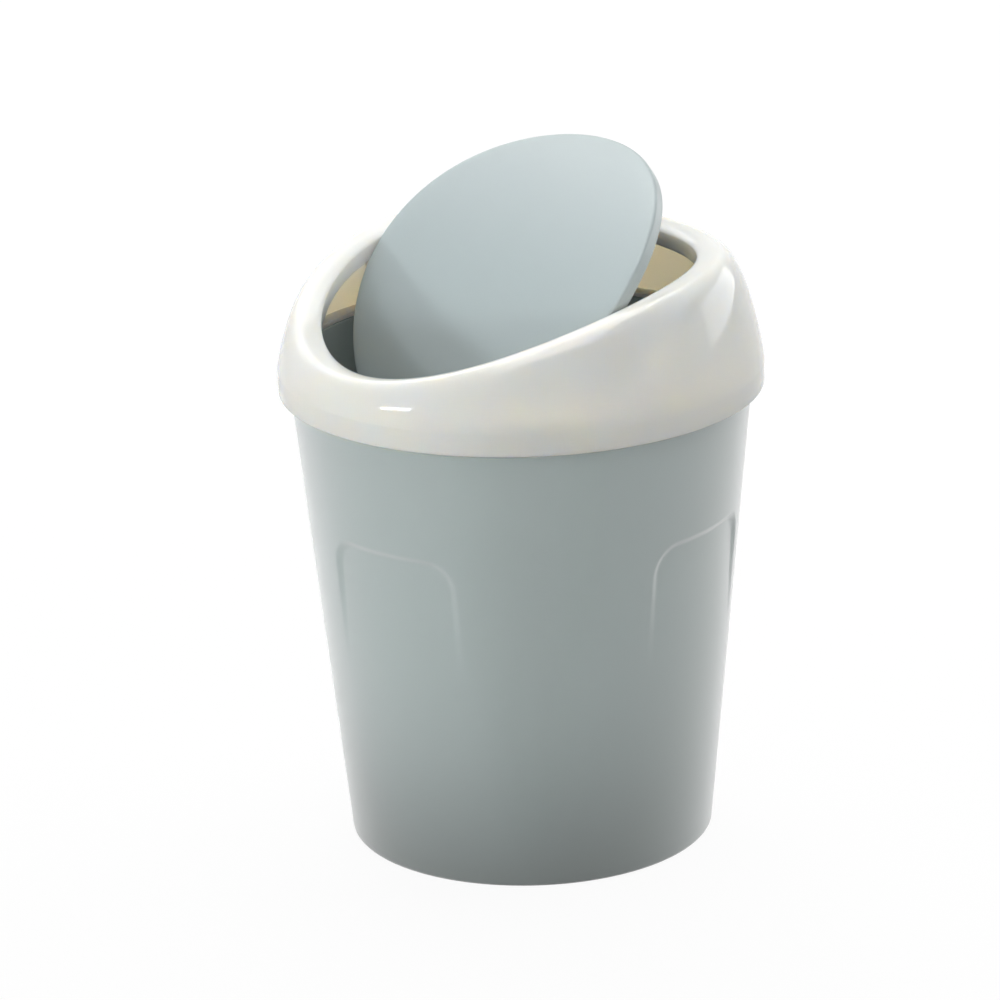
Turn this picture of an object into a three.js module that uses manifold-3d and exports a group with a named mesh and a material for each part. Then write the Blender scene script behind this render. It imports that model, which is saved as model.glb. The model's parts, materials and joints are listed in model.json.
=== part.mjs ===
// Countertop trash can: a tapered bucket, a domed ring on its mouth and a bent flap that swings in the ring.
// Millimetres, Z up, the front towards -Y, the origin on the bucket's axis at the foot.
// Azimuths are counted from the front towards +X.

import * as THREE from 'three';
import { mergeVertices } from 'three/addons/utils/BufferGeometryUtils.js';
import Module from 'manifold-3d';

// Bucket
const footRadius = 52.5;
const neckRadius = 65.7;
const shoulderHeight = 133;
const neckHeight = 9.5;
const bucketWall = 1.6;
const floorThickness = 2;
const floorCorner = 3;
const footHollow = 1.6;
const footWidth = 5;
const footRound = 1.6;

// Grip recesses: shallow arches pressed into the bucket, deepest at the top and fading out below
const gripTop = 99.6;
const gripDepth = 1.3;
const gripFade = 34;
const gripHalfWidth = 21;
const gripCorner = 8;
const gripPairMiddle = 60.1;
const gripPairSpread = 95.4;

// Ring: an upright skirt, a dome and a soft lip round an opening that is lower in front
const lidPlay = 0.35;
const skirtOverhang = 3.7;
const skirtOverlap = 8.5;
const skirtStraight = 6.5;
const ringWall = 2;
const ringRise = 30.8;
const rimBendRadius = 197;
const rimCrestSetback = 29.8;
const mouthShift = 3.7;
const throatRadius = 53.3;
const lipWidth = 6.1;
const lipDrop = 1.9;
const collarDepth = 4.4;
const collarThickness = 1.6;

// How the dome leaves the skirt and arrives at the lip, as shares of its rise and of its width
const domeFootShare = 0.07;
const domeLipShare = 0.62;

// Inside of the ring: the ledge that sits on the bucket's rim, a little past it, and the ribs that centre it
const ledgeOverhang = 0.4;
const ledgeEdge = 1.2;
const ledgeSlope = 0.8;
const ribThickness = 1.4;
const ribSetback = 2;
const ribCount = 8;

// Pivot: ears and stubs on the flap, tabs with a hole and two gussets on the ring
const pivotForward = 7.9;
const pivotDrop = 6.1;
const stubRadius = 2.4;
const stubOverhang = 0.5;
const pivotPlay = 0.3;
const earHalfWidth = 4.6;
const tabHalfWidth = 5.6;
const tabThickness = 2;
const gussetThickness = 1.4;

// Flap: a disc bent front to back, with a turned-down skirt
const flapGap = 0.8;
const flapSink = 2.5;
const flapBendRadius = 145;
const faceThickness = 2;
const flapSkirtDepth = 4.2;
const flapSkirtThickness = 1.8;
const faceRound = 0.9;

// The flap stands swung open by this many degrees, front edge down
const restSwing = 36.4;

// Fineness of the faceted surfaces, and the overrun of every cut
const stepsAround = 72;
const domeSteps = 9;
const lipSteps = 4;
const roundSteps = 3;
const faceSteps = 6;
const pivotSteps = 20;
const overrun = 1;

// Places that follow from the sizes above
const bucketHeight = shoulderHeight + neckHeight;
const taper = (neckRadius - footRadius) / shoulderHeight;
const floorTop = footHollow + floorThickness;
const skirtRadius = neckRadius + skirtOverhang;
const skirtBottom = bucketHeight - skirtOverlap;
const domeBase = skirtBottom + skirtStraight;
const rimTop = bucketHeight + ringRise;
const crestRadius = throatRadius + lipWidth;
const flapRadius = throatRadius - flapGap;
const pivotHeight = faceHeight(-pivotForward) - pivotDrop;

// Satin moulded plastic, glossier on the ring
const finishes = {
  bucket: { color: 0x9fb3b1, roughness: 0.35 },
  ring: { color: 0xf1ece1, roughness: 0.25 },
  flap: { color: 0xa9bcbd, roughness: 0.35 },
};

const wasm = await Module();
wasm.setup();

// Closed solid from a geometry whose faces point outwards
function solidOf(geometry) {
  const bare = geometry.clone();
  bare.deleteAttribute('normal');
  bare.deleteAttribute('uv');
  const merged = mergeVertices(bare);
  const corners = Array.from(merged.index.array);
  const kept = [];
  for (let i = 0; i < corners.length; i += 3) {
    const [a, b, c] = corners.slice(i, i + 3);
    if (a !== b && b !== c && c !== a) kept.push(a, b, c);
  }
  return new wasm.Manifold(new wasm.Mesh({
    numProp: 3,
    vertProperties: new Float32Array(merged.attributes.position.array),
    triVerts: new Uint32Array(kept),
  }));
}

function geometryOf(solid) {
  const mesh = solid.getMesh();
  const geometry = new THREE.BufferGeometry();
  geometry.setAttribute('position', new THREE.BufferAttribute(new Float32Array(mesh.vertProperties), 3));
  geometry.setIndex(new THREE.BufferAttribute(new Uint32Array(mesh.triVerts), 1));
  geometry.computeVertexNormals();
  return geometry;
}

// Geometry turned about an upright axis, from a profile of [radius, height] points that runs upwards outside
function turnedGeometry(profile, forward = 0) {
  const points = profile.map(([radius, height]) => new THREE.Vector2(radius, height));
  const geometry = new THREE.LatheGeometry(points, stepsAround);
  geometry.rotateX(Math.PI / 2);
  geometry.translate(0, -forward, 0);
  return geometry;
}

function turned(profile, forward = 0) {
  return solidOf(turnedGeometry(profile, forward));
}

function cylinder(radius, low, high, forward = 0) {
  return turned([[0, low], [radius, low], [radius, high], [0, high]], forward);
}

function annulus(inner, outer, low, high, forward = 0) {
  return turned([[inner, low], [outer, low], [outer, high], [inner, high], [inner, low]], forward);
}

function box(sizeX, sizeY, sizeZ, x, y, z) {
  const geometry = new THREE.BoxGeometry(sizeX, sizeY, sizeZ);
  geometry.translate(x, y, z);
  return solidOf(geometry);
}

// Bar along X with a round lower end, seen from the side as a tongue that hangs down to the pivot
function tongue(halfWidth, top) {
  const reach = skirtRadius;
  const outline = new THREE.Shape();
  outline.moveTo(halfWidth, top - pivotHeight);
  outline.lineTo(-halfWidth, top - pivotHeight);
  outline.lineTo(-halfWidth, 0);
  outline.absarc(0, 0, halfWidth, Math.PI, 2 * Math.PI, false);
  outline.closePath();
  const geometry = new THREE.ExtrudeGeometry(outline, {
    depth: 2 * reach,
    curveSegments: pivotSteps / 2,
    bevelEnabled: false,
  });
  const across = new THREE.Vector3(0, 1, 0);
  const up = new THREE.Vector3(0, 0, 1);
  const along = new THREE.Vector3(1, 0, 0);
  geometry.applyMatrix4(new THREE.Matrix4().makeBasis(across, up, along));
  geometry.translate(-reach, -pivotForward, pivotHeight);
  return solidOf(geometry);
}

// Bar along X, round about the pivot axis
function pivotBar(radius, fromX, toX) {
  const geometry = new THREE.CylinderGeometry(radius, radius, toX - fromX, pivotSteps);
  geometry.rotateZ(Math.PI / 2);
  geometry.translate((fromX + toX) / 2, -pivotForward, pivotHeight);
  return solidOf(geometry);
}

// Points of a quarter round from one direction to another about a centre, angles from the outward level
function roundPoints(centreRadius, centreHeight, round, fromAngle, toAngle) {
  const points = [];
  for (let i = 0; i <= roundSteps; i += 1) {
    const angle = fromAngle + (toAngle - fromAngle) * (i / roundSteps);
    points.push([centreRadius + round * Math.cos(angle), centreHeight + round * Math.sin(angle)]);
  }
  return points;
}

// Bucket wall as it would be without its grips, drawn in by an inset
function wallRadius(height, inset) {
  return footRadius + taper * height - inset;
}

// Cone that holds the floor of every grip: it meets the wall where the grip fades out
function gripCone(inset) {
  const fadeHeight = gripTop - gripFade;
  const slope = (wallRadius(gripTop, gripDepth) - wallRadius(fadeHeight, 0)) / gripFade;
  const low = wallRadius(fadeHeight, inset) - slope * fadeHeight;
  const high = low + slope * bucketHeight;
  return turned([[0, 0], [low, 0], [high, bucketHeight], [0, bucketHeight]]);
}

// Arch-shaped bar that runs outwards from the axis at an azimuth
function gripArch(azimuth, inset) {
  const halfWidth = gripHalfWidth + inset;
  const corner = gripCorner + inset;
  const top = gripTop + inset;
  const bottom = gripTop - gripFade - inset;
  const outline = new THREE.Shape();
  outline.moveTo(-halfWidth, bottom);
  outline.lineTo(halfWidth, bottom);
  outline.lineTo(halfWidth, top - corner);
  outline.absarc(halfWidth - corner, top - corner, corner, 0, Math.PI / 2, false);
  outline.lineTo(corner - halfWidth, top);
  outline.absarc(corner - halfWidth, top - corner, corner, Math.PI / 2, Math.PI, false);
  outline.closePath();
  const geometry = new THREE.ExtrudeGeometry(outline, {
    depth: skirtRadius,
    curveSegments: 2 * roundSteps,
    bevelEnabled: false,
  });
  const sideways = new THREE.Vector3(Math.cos(azimuth), Math.sin(azimuth), 0);
  const up = new THREE.Vector3(0, 0, 1);
  const outwards = new THREE.Vector3(Math.sin(azimuth), -Math.cos(azimuth), 0);
  geometry.applyMatrix4(new THREE.Matrix4().makeBasis(sideways, up, outwards));
  return solidOf(geometry);
}

// What the grips take from the bucket: a pair at one side and the same pair opposite
function gripCuts(inset) {
  const cone = gripCone(inset);
  const cuts = [];
  for (const turn of [0, 180]) {
    for (const side of [-1, 1]) {
      const azimuth = THREE.MathUtils.degToRad(gripPairMiddle + side * gripPairSpread / 2 + turn);
      cuts.push(gripArch(azimuth, inset).subtract(cone));
    }
  }
  return cuts.reduce((all, cut) => all.add(cut));
}

function bucketSolid() {
  const footCentre = wallRadius(footRound, footRound);
  const outside = turned([
    [0, 0],
    ...roundPoints(footCentre, footRound, footRound, -Math.PI / 2, 0),
    [neckRadius, shoulderHeight],
    [neckRadius, bucketHeight],
    [0, bucketHeight],
  ]);
  const cornerCentre = wallRadius(floorTop + floorCorner, bucketWall + floorCorner);
  const innerNeck = neckRadius - bucketWall;
  const inside = turned([
    [0, floorTop],
    ...roundPoints(cornerCentre, floorTop + floorCorner, floorCorner, -Math.PI / 2, 0),
    [innerNeck, shoulderHeight],
    [innerNeck, bucketHeight + overrun],
    [0, bucketHeight + overrun],
  ]);
  const footRecess = cylinder(footRadius - footWidth, -overrun, footHollow);
  return outside
    .subtract(gripCuts(0))
    .subtract(inside.subtract(gripCuts(bucketWall)))
    .subtract(footRecess);
}

// Height of the lip's crest at a place from front to back: the rim bends over like a wide barrel
function rimHeight(y) {
  const drop = rimBendRadius - Math.sqrt(rimBendRadius ** 2 - (y - rimCrestSetback) ** 2);
  return rimTop - drop;
}

// Height of the flap's face when it is closed: it leaves the rim's slope at the middle and bends more
function faceHeight(y) {
  const middle = rimTop - rimBendRadius + Math.sqrt(rimBendRadius ** 2 - (mouthShift + rimCrestSetback) ** 2);
  const tilt = Math.asin((mouthShift + rimCrestSetback) / rimBendRadius);
  const centreY = -mouthShift + flapBendRadius * Math.sin(tilt);
  const centreZ = middle - flapSink - flapBendRadius * Math.cos(tilt);
  return centreZ + Math.sqrt(flapBendRadius ** 2 - (y - centreY) ** 2);
}

// Point of the ring at an azimuth: its centre moves forward by a share of the opening's shift
function ringPoint(azimuth, radius, height, shiftShare) {
  const x = radius * Math.sin(azimuth);
  const y = -radius * Math.cos(azimuth) - mouthShift * shiftShare;
  return new THREE.Vector3(x, y, height);
}

// Dome from the skirt, at zero, to the lip's crest, at one, as a smooth curve drawn in by an inset
function domePoint(along, azimuth, inset) {
  const back = 1 - along;
  const inShare = 3 * back * along ** 2 * (1 - domeLipShare) + along ** 3;
  const upShare = 3 * back ** 2 * along * domeFootShare + 3 * back * along ** 2 + along ** 3;
  const foot = skirtRadius - inset;
  const crest = rimHeight(-mouthShift - crestRadius * Math.cos(azimuth)) - inset;
  const radius = foot + (crestRadius - foot) * inShare;
  return ringPoint(azimuth, radius, domeBase + (crest - domeBase) * upShare, inShare);
}

// Section of the ring's shell at an azimuth, up the outside, over the lip and back along the inside
function ringSection(azimuth) {
  const crest = rimHeight(-mouthShift - crestRadius * Math.cos(azimuth));
  const collarBottom = crest - lipDrop - collarDepth;
  const section = [ringPoint(azimuth, skirtRadius, skirtBottom, 0)];
  for (let i = 0; i < domeSteps; i += 1) {
    section.push(domePoint(i / domeSteps, azimuth, 0));
  }
  for (let i = 0; i <= lipSteps; i += 1) {
    const angle = (Math.PI / 2) * (i / lipSteps);
    const radius = throatRadius + lipWidth * (1 - Math.sin(angle));
    section.push(ringPoint(azimuth, radius, crest - lipDrop * (1 - Math.cos(angle)), 1));
  }
  section.push(ringPoint(azimuth, throatRadius, collarBottom, 1));
  section.push(ringPoint(azimuth, throatRadius + collarThickness, collarBottom, 1));
  section.push(ringPoint(azimuth, throatRadius + collarThickness, crest - ringWall, 1));
  for (let i = domeSteps; i >= 0; i -= 1) {
    section.push(domePoint(i / domeSteps, azimuth, ringWall));
  }
  section.push(ringPoint(azimuth, skirtRadius - ringWall, skirtBottom, 0));
  return section;
}

// Surface through sections that follow each other round the axis, each one closed on itself
function loftedRing(sectionAt) {
  const positions = [];
  const corners = [];
  let count = 0;
  for (let j = 0; j < stepsAround; j += 1) {
    const section = sectionAt((2 * Math.PI * j) / stepsAround);
    count = section.length;
    for (const point of section) positions.push(point.x, point.y, point.z);
  }
  for (let j = 0; j < stepsAround; j += 1) {
    const next = (j + 1) % stepsAround;
    for (let i = 0; i < count; i += 1) {
      const above = (i + 1) % count;
      const a = j * count + i;
      const b = next * count + i;
      const c = next * count + above;
      const d = j * count + above;
      corners.push(a, b, c, a, c, d);
    }
  }
  const geometry = new THREE.BufferGeometry();
  geometry.setAttribute('position', new THREE.Float32BufferAttribute(positions, 3));
  geometry.setIndex(corners);
  return solidOf(geometry);
}

// Solid inside the middle of the ring's wall, which trims what is moulded on the ring's inner side.
// Over the opening it rises to a point, clear of everything that it trims.
function insideOfWall() {
  const inset = ringWall / 2;
  const pointHeight = rimTop + crestRadius;
  return loftedRing((azimuth) => {
    const section = [
      ringPoint(azimuth, 0, skirtBottom, 0),
      ringPoint(azimuth, skirtRadius - inset, skirtBottom, 0),
    ];
    for (let i = 0; i <= domeSteps; i += 1) section.push(domePoint(i / domeSteps, azimuth, inset));
    section.push(ringPoint(azimuth, 0, pointHeight, 1));
    return section;
  });
}

// Ledge with a sloping top that sits on the bucket's rim
function seatLedge() {
  const inner = neckRadius - bucketWall - ledgeOverhang;
  const low = bucketHeight + lidPlay;
  return turned([
    [inner, low],
    [skirtRadius, low],
    [skirtRadius, low + ledgeEdge + ledgeSlope],
    [skirtRadius - ringWall, low + ledgeEdge + ledgeSlope],
    [inner, low + ledgeEdge],
    [inner, low],
  ]);
}

// Upright ribs inside the skirt that centre the ring on the bucket's neck
function centringRibs() {
  const low = skirtBottom + ribSetback;
  const high = bucketHeight + lidPlay + ledgeEdge;
  const length = skirtRadius - neckRadius + bucketWall;
  const ribs = [];
  for (let i = 0; i < ribCount; i += 1) {
    const azimuth = (2 * Math.PI * (i + 1 / 2)) / ribCount;
    const geometry = new THREE.BoxGeometry(ribThickness, length, high - low);
    geometry.translate(0, -(skirtRadius - length / 2), (low + high) / 2);
    geometry.rotateZ(azimuth);
    ribs.push(solidOf(geometry));
  }
  return ribs.reduce((all, rib) => all.add(rib));
}

// Tabs that hang from the collar at both sides, with gussets out to the wall
function pivotTabs() {
  const crest = rimHeight(-pivotForward);
  const top = crest - lipDrop - collarDepth / 2;
  const bottom = pivotHeight - tabHalfWidth;
  const outer = throatRadius + tabThickness;
  const tabs = annulus(throatRadius, outer, bottom - overrun, top, mouthShift)
    .intersect(tongue(tabHalfWidth, top));
  const middle = cylinder(throatRadius + tabThickness / 2, bottom - overrun, rimTop, mouthShift);
  const gussets = [];
  for (const side of [-1, 1]) {
    const y = -pivotForward + side * (tabHalfWidth - gussetThickness / 2);
    const plate = box(2 * skirtRadius, gussetThickness, top - pivotHeight, 0, y, (top + pivotHeight) / 2);
    gussets.push(plate.subtract(middle));
  }
  return gussets.reduce((all, gusset) => all.add(gusset), tabs);
}

function ringSolid() {
  const reach = throatRadius + tabThickness + overrun;
  const hole = pivotBar(stubRadius + pivotPlay, -reach, reach);
  const neckRoom = cylinder(neckRadius + lidPlay, skirtBottom - overrun, bucketHeight + lidPlay);
  const fittings = seatLedge().add(centringRibs()).add(pivotTabs()).intersect(insideOfWall());
  return loftedRing(ringSection)
    .add(fittings)
    .subtract(neckRoom)
    .subtract(hole);
}

// Disc with its skirt, flat at first, then bent to the face's height from front to back
function bentDisc() {
  const profile = [];
  const flatRadius = flapRadius - faceRound;
  const innerRadius = flapRadius - flapSkirtThickness;
  for (let i = 0; i < faceSteps; i += 1) profile.push([innerRadius * (i / faceSteps), -faceThickness]);
  profile.push([innerRadius, -faceThickness]);
  profile.push([innerRadius, -flapSkirtDepth]);
  profile.push([flapRadius, -flapSkirtDepth]);
  profile.push(...roundPoints(flatRadius, -faceRound, faceRound, 0, Math.PI / 2));
  for (let i = faceSteps - 1; i >= 0; i -= 1) profile.push([flatRadius * (i / faceSteps), 0]);
  const geometry = turnedGeometry(profile, mouthShift);
  const places = geometry.attributes.position;
  for (let i = 0; i < places.count; i += 1) {
    places.setZ(i, places.getZ(i) + faceHeight(places.getY(i)));
  }
  return solidOf(geometry);
}

function flapSolid() {
  const inner = flapRadius - flapSkirtThickness;
  const earTop = faceHeight(-pivotForward - earHalfWidth) - faceThickness / 2;
  const earBottom = pivotHeight - earHalfWidth - overrun;
  const ears = annulus(inner, flapRadius, earBottom, earTop, mouthShift)
    .intersect(tongue(earHalfWidth, earTop));
  const end = throatRadius + tabThickness + stubOverhang;
  const start = inner + flapSkirtThickness / 2;
  return bentDisc()
    .add(ears)
    .add(pivotBar(stubRadius, start, end))
    .add(pivotBar(stubRadius, -end, -start));
}

function piece(name, geometry, finish) {
  const material = new THREE.MeshStandardMaterial({ ...finish, metalness: 0 });
  const mesh = new THREE.Mesh(geometry, material);
  mesh.name = name;
  return mesh;
}

const bucket = piece('bucket', geometryOf(bucketSolid()), finishes.bucket);
const lidRing = piece('lid_ring', geometryOf(ringSolid()), finishes.ring);

const flapGeometry = geometryOf(flapSolid());
flapGeometry.translate(0, pivotForward, -pivotHeight);
const swingFlap = piece('swing_flap', flapGeometry, finishes.flap);

const pivot = new THREE.Group();
pivot.position.set(0, -pivotForward, pivotHeight);
pivot.rotation.x = THREE.MathUtils.degToRad(restSwing);
pivot.add(swingFlap);

const lid = new THREE.Group();
lid.add(lidRing, pivot);

const trashCan = new THREE.Group();
trashCan.add(bucket, lid);

export default trashCan;
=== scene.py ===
import json
import math

import bmesh
import bpy
import numpy as np
from mathutils import Matrix, Vector

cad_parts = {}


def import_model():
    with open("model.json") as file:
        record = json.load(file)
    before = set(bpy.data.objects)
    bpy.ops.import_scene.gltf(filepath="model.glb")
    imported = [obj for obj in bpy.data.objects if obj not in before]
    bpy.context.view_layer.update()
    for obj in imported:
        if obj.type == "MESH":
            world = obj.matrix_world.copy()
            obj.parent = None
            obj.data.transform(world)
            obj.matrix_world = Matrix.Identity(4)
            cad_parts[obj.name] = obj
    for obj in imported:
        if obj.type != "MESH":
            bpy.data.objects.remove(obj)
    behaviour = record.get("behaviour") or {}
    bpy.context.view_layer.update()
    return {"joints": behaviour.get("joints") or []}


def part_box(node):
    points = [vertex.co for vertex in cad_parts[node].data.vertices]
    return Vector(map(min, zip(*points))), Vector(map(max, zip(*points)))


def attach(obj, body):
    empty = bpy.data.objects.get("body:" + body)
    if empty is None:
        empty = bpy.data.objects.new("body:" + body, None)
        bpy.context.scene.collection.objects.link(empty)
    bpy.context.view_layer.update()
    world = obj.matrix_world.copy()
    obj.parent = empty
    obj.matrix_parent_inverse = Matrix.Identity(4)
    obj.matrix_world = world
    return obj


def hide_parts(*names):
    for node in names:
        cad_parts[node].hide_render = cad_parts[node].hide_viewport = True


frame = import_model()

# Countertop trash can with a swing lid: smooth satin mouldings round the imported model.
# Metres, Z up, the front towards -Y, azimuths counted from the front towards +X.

bucket_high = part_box("bucket")[1]
ring_low, ring_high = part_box("lid_ring")
swing = next(joint for joint in frame["joints"] if joint["name"] == "flap_swing")

# Bucket
BUCKET_HEIGHT = bucket_high.z
NECK_RADIUS = bucket_high.x
FOOT_RADIUS = 0.0525
NECK_HEIGHT = 0.0095
SHOULDER_ROUND = 0.006
BUCKET_WALL = 0.0016
FLOOR_THICKNESS = 0.002
FLOOR_CORNER = 0.003
FOOT_HOLLOW = 0.0016
FOOT_WIDTH = 0.005
FOOT_ROUND = 0.0016
RIM_ROUND = 0.0006
GATE_RADIUS = 0.0016
GATE_HEIGHT = 0.0004

# Grip recesses of the bucket
GRIP_TOP = 0.0996
GRIP_DEPTH = 0.0013
GRIP_FADE = 0.034
GRIP_HALF_WIDTH = 0.021
GRIP_CORNER = 0.008
GRIP_EDGE = 0.0024
GRIP_RUN_OUT = 0.008
GRIP_PAIR_MIDDLE = math.radians(60.1)
GRIP_PAIR_SPREAD = math.radians(95.4)

# Ring
SKIRT_RADIUS = ring_high.x
SKIRT_BOTTOM = ring_low.z
RIM_TOP = ring_high.z
LID_PLAY = 0.00035
SKIRT_STRAIGHT = 0.0065
SKIRT_EDGE_ROUND = 0.0009
RING_WALL = 0.002
RIM_BEND_RADIUS = 0.197
RIM_CREST_SETBACK = 0.0298
MOUTH_SHIFT = 0.0037
THROAT_RADIUS = 0.0533
LIP_WIDTH = 0.0061
LIP_DROP = 0.0019
COLLAR_DEPTH = 0.0044
COLLAR_THICKNESS = 0.0016
COLLAR_ROUND = 0.0004
DOME_FOOT_SHARE = 0.07
DOME_LIP_SHARE = 0.62
LEDGE_OVERHANG = 0.0004
LEDGE_EDGE = 0.0012
LEDGE_SLOPE = 0.0008
RIB_THICKNESS = 0.0014
RIB_SETBACK = 0.002
RIB_COUNT = 8

# Pivot
PIVOT = Vector(swing["pos_m"])
REST_SWING = math.radians(-swing["range_deg"][0])
STUB_RADIUS = 0.0024
STUB_OVERHANG = 0.0005
PIVOT_PLAY = 0.0003
EAR_HALF_WIDTH = 0.0046
TAB_HALF_WIDTH = 0.0056
TAB_THICKNESS = 0.002
GUSSET_THICKNESS = 0.0014

# Flap
FLAP_GAP = 0.0008
FLAP_SINK = 0.0025
FLAP_BEND_RADIUS = 0.145
FACE_THICKNESS = 0.002
FACE_ROUND = 0.0009
FLAP_SKIRT_DEPTH = 0.0042
FLAP_SKIRT_THICKNESS = 0.0018
FLAP_EDGE_ROUND = 0.0004

# Finish: the noise scales are in waves per metre
BUCKET_COLOUR = (166, 178, 176)
RING_COLOUR = (254, 237, 222)
# The flap is moulded in the bucket's plastic; its colour is set a little darker than the bucket's as painted
# shade, taking back light that its upturned face catches
FLAP_SHADED_COLOUR = (160, 172, 173)
PLASTIC_IOR = 1.49
COAT_IOR = 1.6
COAT_ROUGHNESS = 0.25
SHEEN_WEIGHT = 0.35
SHEEN_ROUGHNESS = 0.5
SCATTER_REACH = (1.0, 0.86, 0.64)
CLOUD_SCALE = 28.0
GLOSS_SCALE = 60.0
WAVE_SCALE = 34.0
WAVE_HEIGHT = 0.00005
PEEL_SCALE = 700.0
SHARP_ANGLE = math.radians(38.0)

# Fineness
COLUMNS = 288
WIDE_STEP = 0.0026
MIDDLE_STEP = 0.0011
FINE_STEP = 0.0004
ARC_STEPS = 5
DOME_STEPS = 30
LIP_STEPS = 14
TONGUE_STEPS = 20
TRIM_STEPS = 20
PIVOT_STEPS = 40
OVERRUN = 0.001
GRIP_ZONE = 1.2 * GRIP_EDGE
GRIP_CORNER_WIDTH = 1.2 * GRIP_CORNER
GRIP_CORNER_HEIGHT = 1.4 * GRIP_CORNER

TAPER = (NECK_RADIUS - FOOT_RADIUS) / (BUCKET_HEIGHT - NECK_HEIGHT)
CREST_RADIUS = THROAT_RADIUS + LIP_WIDTH
FLAP_RADIUS = THROAT_RADIUS - FLAP_GAP
DOME_BASE = SKIRT_BOTTOM + SKIRT_STRAIGHT


def unit(vector):
    return vector / np.linalg.norm(vector)


def rounded(corners, closed=False):
    """Polyline through corners (across, up, round), each corner turned into an arc of its own radius."""
    points = []
    count = len(corners)
    for i, (across, up, size) in enumerate(corners):
        here = np.array((across, up), float)
        if size == 0 or (not closed and i in (0, count - 1)):
            points.append(here)
            continue
        to_last = unit(np.array(corners[i - 1][:2]) - here)
        to_next = unit(np.array(corners[(i + 1) % count][:2]) - here)
        half = math.acos(np.clip(to_last @ to_next, -1, 1)) / 2
        centre = here + unit(to_last + to_next) * size / math.sin(half)
        start = here + to_last * size / math.tan(half) - centre
        end = here + to_next * size / math.tan(half) - centre
        turn = math.pi - 2 * half
        for step in range(ARC_STEPS + 1):
            share = step / ARC_STEPS
            arm = (math.sin((1 - share) * turn) * start + math.sin(share * turn) * end) / math.sin(turn)
            points.append(centre + arm)
    return points


def marched(start, stop, step_at):
    """Values from start to stop, both kept, with a spacing that follows step_at."""
    values = [start]
    while values[-1] < stop:
        values.append(values[-1] + step_at(values[-1]))
    values = np.array(values)
    return start + (values - start) * (stop - start) / (values[-1] - start)


def spaced(points, step_at):
    """The same polyline with points added, so that its steps follow step_at of the height."""
    found = [points[0]]
    for here, there in zip(points, points[1:]):
        length = np.linalg.norm(there - here)
        if length == 0:
            continue
        along = marched(0, length, lambda value: step_at((here + (there - here) * value / length)[1]))
        found.extend(here + (there - here) * value / length for value in along[1:])
    return found


def wide_steps(height):
    return WIDE_STEP


def mesh_object(name, places, faces):
    mesh = bpy.data.meshes.new(name)
    mesh.from_pydata([tuple(place) for place in places], [], faces)
    mesh.validate()
    made = bmesh.new()
    made.from_mesh(mesh)
    bmesh.ops.remove_doubles(made, verts=made.verts, dist=1e-7)
    bmesh.ops.recalc_face_normals(made, faces=made.faces)
    made.to_mesh(mesh)
    made.free()
    made = bpy.data.objects.new(name, mesh)
    bpy.context.scene.collection.objects.link(made)
    return made


def swept(name, sections, closed):
    """Surface through sections that follow each other all the way round the axis.
    A closed section joins its own ends, an open one has its ends on the axis."""
    columns, rows = len(sections), len(sections[0])
    places = [place for section in sections for place in section]
    faces = []
    for j in range(columns):
        k = (j + 1) % columns
        for i in range(rows if closed else rows - 1):
            m = (i + 1) % rows
            face = [j * rows + i, k * rows + i, k * rows + m, j * rows + m]
            if not closed and i == 0:
                face = [j * rows + i, k * rows + m, j * rows + m]
            if not closed and m == rows - 1:
                face = [j * rows + i, k * rows + i, j * rows + m]
            faces.append(face)
    return mesh_object(name, places, faces)


def on_axis(azimuth, radius, height, forward=0.0):
    """Point at an azimuth and a radius about an upright axis that stands forward of the bucket's."""
    return (radius * math.sin(azimuth), -radius * math.cos(azimuth) - forward, height)


def lathe(name, profile, closed=False, forward=0.0):
    azimuths = [2 * math.pi * j / COLUMNS for j in range(COLUMNS)]
    sections = [[on_axis(azimuth, r, z, forward) for r, z in profile] for azimuth in azimuths]
    return swept(name, sections, closed)


def cylinder(name, radius, low, high, forward=0.0):
    return lathe(name, [(0, low), (radius, low), (radius, high), (0, high)], False, forward)


def annulus(name, inner, outer, low, high, forward=0.0):
    return lathe(name, [(inner, low), (outer, low), (outer, high), (inner, high)], True, forward)


def block(name, size, centre):
    made = bmesh.new()
    bmesh.ops.create_cube(made, size=1.0)
    bmesh.ops.scale(made, vec=size, verts=made.verts)
    bmesh.ops.translate(made, vec=centre, verts=made.verts)
    mesh = bpy.data.meshes.new(name)
    made.to_mesh(mesh)
    made.free()
    made = bpy.data.objects.new(name, mesh)
    bpy.context.scene.collection.objects.link(made)
    return made


def extruded(name, outline, low_x, high_x):
    """Bar along X with an outline of (y, z) points."""
    count = len(outline)
    places = [(x, y, z) for x in (low_x, high_x) for y, z in outline]
    faces = [[i, (i + 1) % count, count + (i + 1) % count, count + i] for i in range(count)]
    faces += [list(range(count)), list(range(count, 2 * count))]
    return mesh_object(name, places, faces)


def joined(base, other, operation):
    """Base joined with, or cut by, another solid, which is used up."""
    modifier = base.modifiers.new("join", "BOOLEAN")
    modifier.operation = operation
    modifier.solver = "MANIFOLD"
    modifier.object = other
    bpy.context.view_layer.update()
    result = bpy.data.meshes.new_from_object(base.evaluated_get(bpy.context.evaluated_depsgraph_get()))
    base.modifiers.clear()
    old = base.data
    base.data = result
    bpy.data.meshes.remove(old)
    bpy.data.objects.remove(other)
    return base


def wall_radius(height, inset):
    """Bucket wall without its grips, drawn in by an inset."""
    return FOOT_RADIUS + TAPER * height - inset


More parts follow.
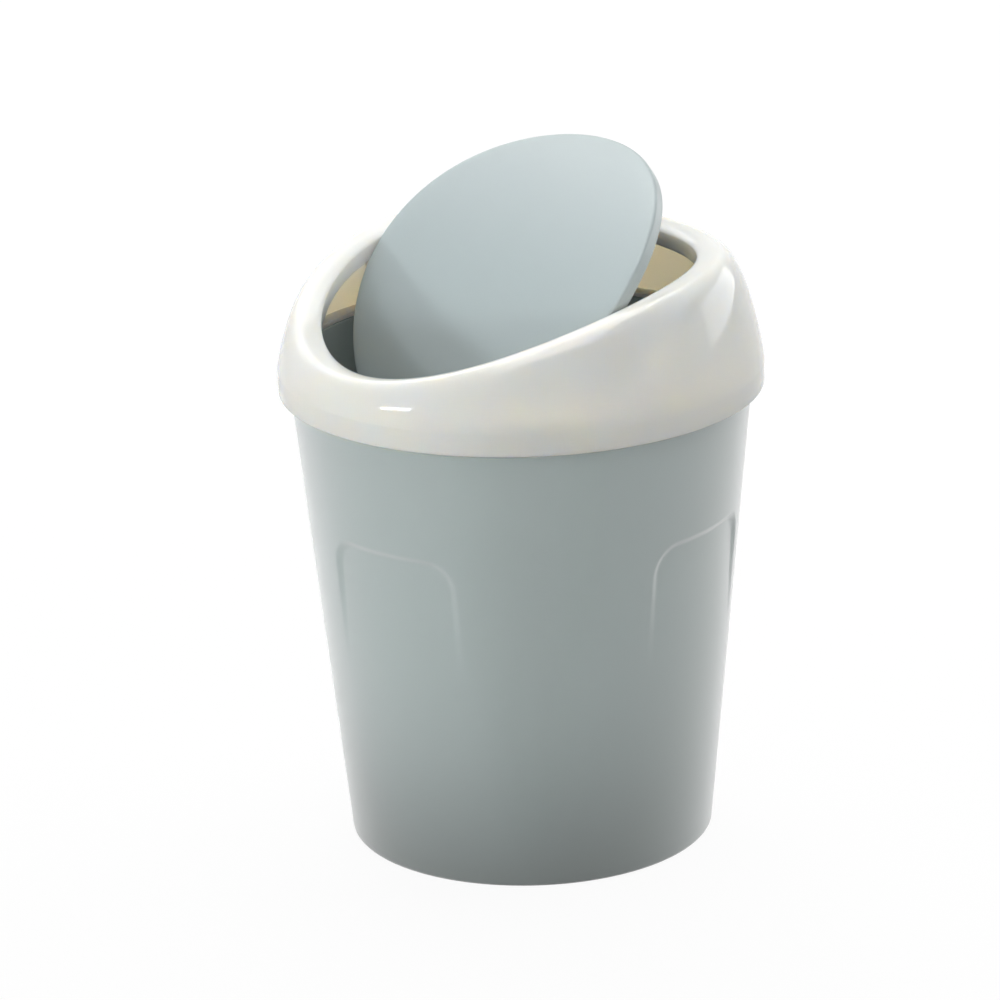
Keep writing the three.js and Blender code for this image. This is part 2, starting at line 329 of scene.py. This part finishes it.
def grip_depth(azimuth, radius, height, outset):
    """How far the wall is pressed in at a place: arches with soft edges that fade out downwards."""
    above = height - (GRIP_TOP - GRIP_FADE)
    if above < -GRIP_RUN_OUT or height > GRIP_TOP + GRIP_EDGE + outset:
        return 0.0
    if above < GRIP_RUN_OUT:
        ramp = (above + GRIP_RUN_OUT) ** 2 / (4 * GRIP_RUN_OUT)
    else:
        ramp = above
    deep = GRIP_DEPTH * min(ramp, GRIP_FADE) / GRIP_FADE
    most = 0.0
    for turn in (0, math.pi):
        for side in (-1, 1):
            away = azimuth - GRIP_PAIR_MIDDLE - side * GRIP_PAIR_SPREAD / 2 - turn
            if math.cos(away) <= 0:
                continue
            sideways = abs(radius * math.sin(away)) - (GRIP_HALF_WIDTH - GRIP_CORNER)
            up = height - (GRIP_TOP - GRIP_CORNER)
            outside = math.hypot(max(sideways, 0), max(up, 0)) + min(max(sideways, up), 0)
            outside -= GRIP_CORNER + outset
            share = min(max(0.5 - outside / GRIP_EDGE, 0), 1)
            most = max(most, share * share * (3 - 2 * share))
    return deep * most


def grip_row_step(height):
    """Rows lie close at the arches' top edge and closer than usual beside their corners."""
    if abs(height - GRIP_TOP) < GRIP_ZONE:
        return FINE_STEP
    if GRIP_TOP - GRIP_CORNER_HEIGHT < height < GRIP_TOP:
        return MIDDLE_STEP
    return WIDE_STEP


def grip_column_step(azimuth):
    """Columns lie close at the arches' sides and closer than usual beside their corners."""
    radius = wall_radius(GRIP_TOP - GRIP_FADE / 2, 0)
    step = WIDE_STEP
    for turn in (-math.pi, 0, math.pi, 2 * math.pi):
        for side in (-1, 1):
            away = azimuth - GRIP_PAIR_MIDDLE - side * GRIP_PAIR_SPREAD / 2 - turn
            sideways = abs(radius * math.sin(away)) if abs(away) < math.pi / 2 else math.inf
            if abs(sideways - GRIP_HALF_WIDTH) < GRIP_ZONE:
                step = min(step, FINE_STEP)
            elif GRIP_HALF_WIDTH - GRIP_CORNER_WIDTH < sideways < GRIP_HALF_WIDTH:
                step = min(step, MIDDLE_STEP)
    return step / radius


def bucket_profile():
    """Section of the bucket without its grips, from under the floor round the outside to the floor's middle.
    Each point has the outset of the grips on its side of the wall."""
    inner_neck = NECK_RADIUS - BUCKET_WALL
    shoulder = BUCKET_HEIGHT - NECK_HEIGHT
    floor_top = FOOT_HOLLOW + FLOOR_THICKNESS
    foot_inside = FOOT_RADIUS - FOOT_WIDTH
    outside = rounded([
        (0, FOOT_HOLLOW - GATE_HEIGHT, 0),
        (GATE_RADIUS, FOOT_HOLLOW - GATE_HEIGHT, GATE_HEIGHT / 3),
        (GATE_RADIUS + GATE_HEIGHT / 3, FOOT_HOLLOW, GATE_HEIGHT / 3),
        (foot_inside, FOOT_HOLLOW, RIM_ROUND / 2),
        (foot_inside, 0, RIM_ROUND / 2),
        (FOOT_RADIUS, 0, FOOT_ROUND),
        (NECK_RADIUS, shoulder, SHOULDER_ROUND),
        (NECK_RADIUS, BUCKET_HEIGHT, RIM_ROUND),
        (NECK_RADIUS - BUCKET_WALL / 2, BUCKET_HEIGHT, 0),
    ])
    inside = rounded([
        (NECK_RADIUS - BUCKET_WALL / 2, BUCKET_HEIGHT, 0),
        (inner_neck, BUCKET_HEIGHT, RIM_ROUND),
        (inner_neck, shoulder, SHOULDER_ROUND),
        (wall_radius(floor_top, BUCKET_WALL), floor_top, FLOOR_CORNER),
        (0, floor_top, 0),
    ])
    outside = [(r, z, 0.0) for r, z in spaced(outside, grip_row_step)]
    inside = [(r, z, BUCKET_WALL) for r, z in spaced(inside, grip_row_step)]
    return outside + inside[1:]


def bucket_mesh():
    profile = bucket_profile()
    sections = []
    for azimuth in marched(0, 2 * math.pi, grip_column_step)[:-1]:
        section = []
        for radius, height, outset in profile:
            pressed = radius - grip_depth(azimuth, radius, height, outset)
            section.append(on_axis(azimuth, pressed, height))
        sections.append(section)
    return swept("bucket_body", sections, False)


def rim_height(y):
    """Height of the lip's crest: the rim bends over from back to front like a wide barrel."""
    return RIM_TOP - RIM_BEND_RADIUS + math.sqrt(RIM_BEND_RADIUS ** 2 - (y - RIM_CREST_SETBACK) ** 2)


def face_height(y):
    """Height of the closed flap's face, which leaves the rim's slope at the middle and bends more."""
    reach = MOUTH_SHIFT + RIM_CREST_SETBACK
    middle = RIM_TOP - RIM_BEND_RADIUS + math.sqrt(RIM_BEND_RADIUS ** 2 - reach ** 2)
    tilt = math.asin(reach / RIM_BEND_RADIUS)
    centre_y = -MOUTH_SHIFT + FLAP_BEND_RADIUS * math.sin(tilt)
    centre_z = middle - FLAP_SINK - FLAP_BEND_RADIUS * math.cos(tilt)
    return centre_z + math.sqrt(FLAP_BEND_RADIUS ** 2 - (y - centre_y) ** 2)


def crest_height(azimuth):
    return rim_height(-MOUTH_SHIFT - CREST_RADIUS * math.cos(azimuth))


def dome_point(along, azimuth, inset):
    """Dome from the skirt, at zero, to the lip's crest, at one, as a smooth curve drawn in by an inset."""
    back = 1 - along
    in_share = 3 * back * along ** 2 * (1 - DOME_LIP_SHARE) + along ** 3
    up_share = 3 * back ** 2 * along * DOME_FOOT_SHARE + 3 * back * along ** 2 + along ** 3
    foot = SKIRT_RADIUS - inset
    crest = crest_height(azimuth) - inset
    radius = foot + (CREST_RADIUS - foot) * in_share
    return on_axis(azimuth, radius, DOME_BASE + (crest - DOME_BASE) * up_share, MOUTH_SHIFT * in_share)


def ring_section(azimuth):
    """Section of the ring's shell, up the outside, over the lip and back along the inside."""
    crest = crest_height(azimuth)
    skirt_inside = SKIRT_RADIUS - RING_WALL
    collar_outside = THROAT_RADIUS + COLLAR_THICKNESS
    collar_bottom = crest - LIP_DROP - COLLAR_DEPTH
    skirt = spaced(rounded([
        (skirt_inside, DOME_BASE, 0),
        (skirt_inside, SKIRT_BOTTOM, SKIRT_EDGE_ROUND),
        (SKIRT_RADIUS, SKIRT_BOTTOM, SKIRT_EDGE_ROUND),
        (SKIRT_RADIUS, DOME_BASE, 0),
    ]), wide_steps)
    collar = spaced(rounded([
        (THROAT_RADIUS, crest - LIP_DROP, 0),
        (THROAT_RADIUS, collar_bottom, COLLAR_ROUND),
        (collar_outside, collar_bottom, COLLAR_ROUND),
        (collar_outside, crest - RING_WALL, COLLAR_ROUND),
        (CREST_RADIUS, crest - RING_WALL, 0),
    ]), wide_steps)
    section = [on_axis(azimuth, r, z) for r, z in skirt]
    section += [dome_point(i / DOME_STEPS, azimuth, 0) for i in range(1, DOME_STEPS)]
    for i in range(LIP_STEPS):
        angle = math.pi / 2 * i / LIP_STEPS
        radius = THROAT_RADIUS + LIP_WIDTH * (1 - math.sin(angle))
        section.append(on_axis(azimuth, radius, crest - LIP_DROP * (1 - math.cos(angle)), MOUTH_SHIFT))
    section += [on_axis(azimuth, r, z, MOUTH_SHIFT) for r, z in collar]
    section += [dome_point(i / DOME_STEPS, azimuth, RING_WALL) for i in range(DOME_STEPS - 1, 0, -1)]
    return section


def inside_of_wall():
    """Solid inside the middle of the ring's wall, which trims what is moulded on its inner side."""
    inset = RING_WALL / 2
    sections = []
    for j in range(COLUMNS):
        azimuth = 2 * math.pi * j / COLUMNS
        section = [on_axis(azimuth, 0, SKIRT_BOTTOM), on_axis(azimuth, SKIRT_RADIUS - inset, SKIRT_BOTTOM)]
        section += [dome_point(i / TRIM_STEPS, azimuth, inset) for i in range(TRIM_STEPS + 1)]
        section.append((0, -MOUTH_SHIFT, RIM_TOP + CREST_RADIUS))
        sections.append(section)
    return swept("inside_of_wall", sections, False)


def seat_ledge():
    """Ledge with a sloping top that sits on the bucket's rim."""
    inner = NECK_RADIUS - BUCKET_WALL - LEDGE_OVERHANG
    low = BUCKET_HEIGHT + LID_PLAY
    return lathe("seat_ledge", [
        (inner, low),
        (SKIRT_RADIUS, low),
        (SKIRT_RADIUS, low + LEDGE_EDGE + LEDGE_SLOPE),
        (SKIRT_RADIUS - RING_WALL, low + LEDGE_EDGE + LEDGE_SLOPE),
        (inner, low + LEDGE_EDGE),
    ], True)


def centring_rib(index):
    low = SKIRT_BOTTOM + RIB_SETBACK
    high = BUCKET_HEIGHT + LID_PLAY + LEDGE_EDGE
    length = SKIRT_RADIUS - NECK_RADIUS + BUCKET_WALL
    centre = (0, -(SKIRT_RADIUS - length / 2), (low + high) / 2)
    rib = block("rib", (RIB_THICKNESS, length, high - low), centre)
    rib.data.transform(Matrix.Rotation(2 * math.pi * (index + 0.5) / RIB_COUNT, 4, "Z"))
    return rib


def tongue(name, half_width, top):
    """Bar along X whose side view is a tongue that hangs down round the pivot."""
    outline = [(PIVOT.y + half_width, top), (PIVOT.y - half_width, top)]
    for i in range(TONGUE_STEPS + 1):
        angle = math.pi + math.pi * i / TONGUE_STEPS
        outline.append((PIVOT.y + half_width * math.cos(angle), PIVOT.z + half_width * math.sin(angle)))
    return extruded(name, outline, -SKIRT_RADIUS, SKIRT_RADIUS)


def pivot_bar(name, radius, low_x, high_x):
    angles = [2 * math.pi * i / PIVOT_STEPS for i in range(PIVOT_STEPS)]
    outline = [(PIVOT.y + radius * math.cos(a), PIVOT.z + radius * math.sin(a)) for a in angles]
    return extruded(name, outline, low_x, high_x)


def pivot_tabs():
    """Tabs that hang from the collar at both sides, with gussets out to the wall."""
    top = rim_height(PIVOT.y) - LIP_DROP - COLLAR_DEPTH / 2
    low = PIVOT.z - TAB_HALF_WIDTH - OVERRUN
    tabs = annulus("tabs", THROAT_RADIUS, THROAT_RADIUS + TAB_THICKNESS, low, top, MOUTH_SHIFT)
    joined(tabs, tongue("tongue", TAB_HALF_WIDTH, top), "INTERSECT")
    middle = THROAT_RADIUS + TAB_THICKNESS / 2
    for side in (-1, 1):
        y = PIVOT.y + side * (TAB_HALF_WIDTH - GUSSET_THICKNESS / 2)
        size = (2 * SKIRT_RADIUS, GUSSET_THICKNESS, top - PIVOT.z)
        gusset = block("gusset", size, (0, y, (top + PIVOT.z) / 2))
        joined(gusset, cylinder("middle", middle, low, RIM_TOP, MOUTH_SHIFT), "DIFFERENCE")
        joined(tabs, gusset, "UNION")
    return tabs


def ring_mesh():
    azimuths = [2 * math.pi * j / COLUMNS for j in range(COLUMNS)]
    ring = swept("lid_ring_body", [ring_section(azimuth) for azimuth in azimuths], True)
    fittings = seat_ledge()
    for index in range(RIB_COUNT):
        joined(fittings, centring_rib(index), "UNION")
    joined(fittings, pivot_tabs(), "UNION")
    joined(fittings, inside_of_wall(), "INTERSECT")
    joined(ring, fittings, "UNION")
    neck_low, neck_top = SKIRT_BOTTOM - OVERRUN, BUCKET_HEIGHT + LID_PLAY
    joined(ring, cylinder("neck_room", NECK_RADIUS + LID_PLAY, neck_low, neck_top), "DIFFERENCE")
    reach = THROAT_RADIUS + TAB_THICKNESS + OVERRUN
    joined(ring, pivot_bar("hole", STUB_RADIUS + PIVOT_PLAY, -reach, reach), "DIFFERENCE")
    return ring


def flap_mesh():
    """Closed flap: a disc with a turned-down skirt, bent from front to back, with ears and stubs."""
    inner = FLAP_RADIUS - FLAP_SKIRT_THICKNESS
    profile = spaced(rounded([
        (0, -FACE_THICKNESS, 0),
        (inner, -FACE_THICKNESS, FLAP_EDGE_ROUND),
        (inner, -FLAP_SKIRT_DEPTH, FLAP_EDGE_ROUND),
        (FLAP_RADIUS, -FLAP_SKIRT_DEPTH, FLAP_EDGE_ROUND),
        (FLAP_RADIUS, 0, FACE_ROUND),
        (0, 0, 0),
    ]), wide_steps)
    flap = lathe("swing_flap_body", profile, False, MOUTH_SHIFT)
    for vertex in flap.data.vertices:
        vertex.co.z += face_height(vertex.co.y)
    ear_top = face_height(PIVOT.y - EAR_HALF_WIDTH) - FACE_THICKNESS / 2
    ear_low = PIVOT.z - EAR_HALF_WIDTH - OVERRUN
    ears = annulus("ears", inner, FLAP_RADIUS, ear_low, ear_top, MOUTH_SHIFT)
    joined(ears, tongue("ear_tongue", EAR_HALF_WIDTH, ear_top), "INTERSECT")
    joined(flap, ears, "UNION")
    start = inner + FLAP_SKIRT_THICKNESS / 2
    end = THROAT_RADIUS + TAB_THICKNESS + STUB_OVERHANG
    for low_x, high_x in ((start, end), (-end, -start)):
        joined(flap, pivot_bar("stub", STUB_RADIUS, low_x, high_x), "UNION")
    turn = Matrix.Translation(PIVOT) @ Matrix.Rotation(REST_SWING, 4, "X") @ Matrix.Translation(-PIVOT)
    flap.data.transform(turn)
    return flap


def linear(colour):
    """Linear colour from an sRGB one given in 0 to 255."""
    def one(value):
        value /= 255
        return value / 12.92 if value <= 0.04045 else ((value + 0.055) / 1.055) ** 2.4
    return tuple(one(value) for value in colour)


def plastic(name, colour, roughness, gloss_spread, peel_height, cloud_share, coat=0.0, scatter_depth=0.0):
    """Moulded plastic: a faint cloudy colour, uneven gloss, and the slight waves and orange peel of
    a moulding. A coat whitens its outline, and a scatter depth lets light through a thin wall,
    warmer the further it goes."""
    colour = linear(colour)
    material = bpy.data.materials.new(name)
    material.use_nodes = True
    nodes, links = material.node_tree.nodes, material.node_tree.links
    shader = nodes["Principled BSDF"]
    shader.inputs["IOR"].default_value = PLASTIC_IOR
    shader.inputs["Coat Weight"].default_value = coat
    shader.inputs["Coat Roughness"].default_value = COAT_ROUGHNESS
    shader.inputs["Coat IOR"].default_value = COAT_IOR
    shader.inputs["Sheen Weight"].default_value = SHEEN_WEIGHT * coat
    shader.inputs["Sheen Roughness"].default_value = SHEEN_ROUGHNESS
    if scatter_depth > 0:
        shader.inputs["Subsurface Weight"].default_value = 1.0
        shader.inputs["Subsurface Radius"].default_value = SCATTER_REACH
        shader.inputs["Subsurface Scale"].default_value = scatter_depth
    place = nodes.new("ShaderNodeTexCoord").outputs["Object"]

    def noise(scale, detail):
        made = nodes.new("ShaderNodeTexNoise")
        made.inputs["Scale"].default_value = scale
        made.inputs["Detail"].default_value = detail
        links.new(place, made.inputs["Vector"])
        return made.outputs["Fac"]

    shade = nodes.new("ShaderNodeMix")
    shade.data_type = "RGBA"
    dark = tuple(value * (1 - cloud_share) for value in colour) + (1.0,)
    light = tuple(min(value * (1 + cloud_share), 1.0) for value in colour) + (1.0,)
    shade.inputs["A"].default_value = dark
    shade.inputs["B"].default_value = light
    links.new(noise(CLOUD_SCALE, 3.0), shade.inputs["Factor"])
    links.new(shade.outputs["Result"], shader.inputs["Base Color"])

    spread = nodes.new("ShaderNodeMapRange")
    spread.inputs["To Min"].default_value = roughness - gloss_spread
    spread.inputs["To Max"].default_value = roughness + gloss_spread
    links.new(noise(GLOSS_SCALE, 4.0), spread.inputs["Value"])
    links.new(spread.outputs["Result"], shader.inputs["Roughness"])

    normal = None
    for scale, height in ((WAVE_SCALE, WAVE_HEIGHT), (PEEL_SCALE, peel_height)):
        bump = nodes.new("ShaderNodeBump")
        bump.inputs["Distance"].default_value = height
        links.new(noise(scale, 2.0), bump.inputs["Height"])
        if normal:
            links.new(normal, bump.inputs["Normal"])
        normal = bump.outputs["Normal"]
    links.new(normal, shader.inputs["Normal"])
    return material


def dressed(piece, material, node, body):
    """Gives a piece its finish and smooth shading, and puts it in its node's place on its body."""
    piece.data.materials.clear()
    piece.data.materials.append(material)
    piece.data.shade_smooth()
    piece.data.set_sharp_from_angle(angle=SHARP_ANGLE)
    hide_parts(node)
    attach(piece, body)


# The photograph's camera, fitted to the foot, the ring and the opening
CAMERA_AZIMUTH = math.radians(51.84)
CAMERA_ELEVATION = math.radians(19.34)
CAMERA_ROLL = math.radians(-1.506)
CAMERA_DISTANCE = 1.5
AIM_HEIGHT = 0.08
FOCAL_PIXELS = 5191.0
FRAME_PIXELS = 1000.0
AIM_PIXEL = (525.94, 560.91)

# Floor: its half width, how far it lies under the foot, how it shows to the camera as a matt share
# and a glow, and how bright it is in soft light
FLOOR_HALF = 6.0
FLOOR_DROP = 0.0001
FLOOR_MATT = 0.05
FLOOR_GLOW = 0.94
FLOOR_UNSEEN = 0.10

# Lamps: their usual distance, and for the level beams the distance, size, height of the lower edge
# and spread in degrees
LAMP_DISTANCE = 1.5
BEAM_DISTANCE = 0.5
BEAM_SIZE = (0.4, 0.3)
BEAM_EDGE = 0.024
BEAM_SPREAD = 13.5


def camera():
    data = bpy.data.cameras.new("camera")
    data.sensor_width = 36.0
    data.lens = data.sensor_width * FOCAL_PIXELS / FRAME_PIXELS
    data.shift_x = 0.5 - AIM_PIXEL[0] / FRAME_PIXELS
    data.shift_y = AIM_PIXEL[1] / FRAME_PIXELS - 0.5
    back = Vector((
        math.sin(CAMERA_AZIMUTH) * math.cos(CAMERA_ELEVATION),
        -math.cos(CAMERA_AZIMUTH) * math.cos(CAMERA_ELEVATION),
        math.sin(CAMERA_ELEVATION),
    ))
    made = bpy.data.objects.new("camera", data)
    bpy.context.scene.collection.objects.link(made)
    turn = (-back).to_track_quat("-Z", "Y").to_matrix().to_4x4() @ Matrix.Rotation(CAMERA_ROLL, 4, "Z")
    made.matrix_world = Matrix.Translation(Vector((0, 0, AIM_HEIGHT)) + back * CAMERA_DISTANCE) @ turn
    bpy.context.scene.camera = made


def seen_white(shader_tree, seen, unseen):
    """A shader that is one thing to the camera and in gloss and glass, and another to soft light."""
    nodes, links = shader_tree.nodes, shader_tree.links
    path = nodes.new("ShaderNodeLightPath")
    either = nodes.new("ShaderNodeMath")
    either.operation = "MAXIMUM"
    links.new(path.outputs["Is Camera Ray"], either.inputs[0])
    links.new(path.outputs["Is Glossy Ray"], either.inputs[1])
    any_of = nodes.new("ShaderNodeMath")
    any_of.operation = "MAXIMUM"
    links.new(either.outputs["Value"], any_of.inputs[0])
    links.new(path.outputs["Is Transmission Ray"], any_of.inputs[1])
    mix = nodes.new("ShaderNodeMixShader")
    links.new(any_of.outputs["Value"], mix.inputs["Fac"])
    links.new(unseen, mix.inputs[1])
    links.new(seen, mix.inputs[2])
    return mix.outputs["Shader"]


def world():
    """White to the eye and in gloss, without any light on the object."""
    made = bpy.data.worlds.new("studio")
    bpy.context.scene.world = made
    made.use_nodes = True
    tree = made.node_tree
    tree.nodes.clear()
    seen = tree.nodes.new("ShaderNodeBackground")
    seen.inputs["Color"].default_value = (1, 1, 1, 1)
    seen.inputs["Strength"].default_value = 1.0
    dark = tree.nodes.new("ShaderNodeBackground")
    dark.inputs["Strength"].default_value = 0.0
    output = tree.nodes.new("ShaderNodeOutputWorld")
    tree.links.new(seen_white(tree, seen.outputs[0], dark.outputs[0]), output.inputs["Surface"])


def towards(azimuth, elevation):
    """Unit vector at a bearing from the object, both angles in degrees; azimuth 0 is the front."""
    a, e = math.radians(azimuth), math.radians(elevation)
    return Vector((math.sin(a) * math.cos(e), -math.cos(a) * math.cos(e), math.sin(e)))


def lamp(name, place, aim, size, radiance):
    """Panel lamp with a radiance in units of plain white."""
    data = bpy.data.lights.new(name, "AREA")
    data.shape = "RECTANGLE"
    data.size, data.size_y = size
    data.energy = math.pi * size[0] * size[1] * radiance
    made = bpy.data.objects.new(name, data)
    bpy.context.scene.collection.objects.link(made)
    made.location = place
    made.rotation_mode = "QUATERNION"
    made.rotation_quaternion = (Vector(aim) - Vector(place)).to_track_quat("-Z", "Y")
    return made


def panel(name, azimuth, elevation, size, radiance, distance=LAMP_DISTANCE):
    """Lamp that faces the object from a bearing."""
    return lamp(name, towards(azimuth, elevation) * distance, (0, 0, AIM_HEIGHT), size, radiance)


def fill(*settings):
    """Panel that lights the surfaces but leaves no image of itself in their gloss."""
    panel(*settings).visible_glossy = False


def card(*settings):
    """Panel that only shows in the gloss."""
    panel(*settings).visible_diffuse = False


def beam(name, azimuth, radiance):
    """Level lamp with a honeycomb close by, whose light fades out towards the foot."""
    aim = Vector((0, 0, BEAM_EDGE + BEAM_SIZE[1] / 2))
    made = lamp(name, aim + towards(azimuth, 0) * BEAM_DISTANCE, aim, BEAM_SIZE, radiance)
    made.data.spread = math.radians(BEAM_SPREAD)
    made.visible_glossy = False


def grey(value):
    return (value, value, value, 1)


def floor():
    """Pale floor that is white to the eye, keeps the object's shadow and lights it only a little."""
    made = bmesh.new()
    bmesh.ops.create_grid(made, x_segments=2, y_segments=2, size=FLOOR_HALF)
    mesh = bpy.data.meshes.new("floor")
    made.to_mesh(mesh)
    made.free()
    piece = bpy.data.objects.new("floor", mesh)
    bpy.context.scene.collection.objects.link(piece)
    piece.location.z = -FLOOR_DROP
    material = bpy.data.materials.new("floor")
    material.use_nodes = True
    tree = material.node_tree
    tree.nodes.clear()
    matt = tree.nodes.new("ShaderNodeBsdfDiffuse")
    matt.inputs["Color"].default_value = grey(FLOOR_MATT)
    glow = tree.nodes.new("ShaderNodeEmission")
    glow.inputs["Strength"].default_value = FLOOR_GLOW
    both = tree.nodes.new("ShaderNodeAddShader")
    tree.links.new(matt.outputs[0], both.inputs[0])
    tree.links.new(glow.outputs[0], both.inputs[1])
    unseen = tree.nodes.new("ShaderNodeBsdfDiffuse")
    unseen.inputs["Color"].default_value = grey(FLOOR_UNSEEN)
    output = tree.nodes.new("ShaderNodeOutputMaterial")
    tree.links.new(seen_white(tree, both.outputs[0], unseen.outputs[0]), output.inputs["Surface"])
    mesh.materials.append(material)


camera()
world()
floor()

# Lamps: bearing and elevation in degrees, size, and radiance
panel("key", -11, 20.5, (0.4, 0.06), 20.0)
fill("key_soft", -20, 24, (0.5, 0.5), 2.24)
fill("fill_back", -128, 25, (1.4, 1.2), 2.8)
fill("fill_right_back", 165, 25, (1.2, 1.2), 2.64)
fill("fill_front", 52, 50, (0.35, 0.35), 1.26, 0.5)
panel("window", -100, 42, (1.0, 1.0), 1.26)
panel("overhead", -128, 75, (1.4, 1.4), 2.3)
card("card_top", 52, 82, (1.2, 0.8), 2.6)
card("card_high", 52, 58, (1.2, 0.5), 3.4)
card("card_right", 176, 12, (1.2, 0.4), 1.7)
beam("beam_left", -40, 0.47)
beam("beam_front", 52, 0.365)

bucket_plastic = plastic(
    "bucket_plastic", BUCKET_COLOUR,
    roughness=0.32, gloss_spread=0.04, peel_height=0.000008, cloud_share=0.02, coat=1.0)
ring_plastic = plastic(
    "ring_plastic", RING_COLOUR,
    roughness=0.07, gloss_spread=0.015, peel_height=0.000003, cloud_share=0.012, scatter_depth=0.0065)
# The flap's colour carries painted shade: the bucket's plastic made a little darker
flap_plastic = plastic(
    "flap_plastic", FLAP_SHADED_COLOUR,
    roughness=0.32, gloss_spread=0.04, peel_height=0.000008, cloud_share=0.02)

dressed(bucket_mesh(), bucket_plastic, "bucket", "bucket")
dressed(ring_mesh(), ring_plastic, "lid_ring", "lid")
dressed(flap_mesh(), flap_plastic, "swing_flap", "flap")

bpy.context.scene.view_settings.view_transform = "Standard"
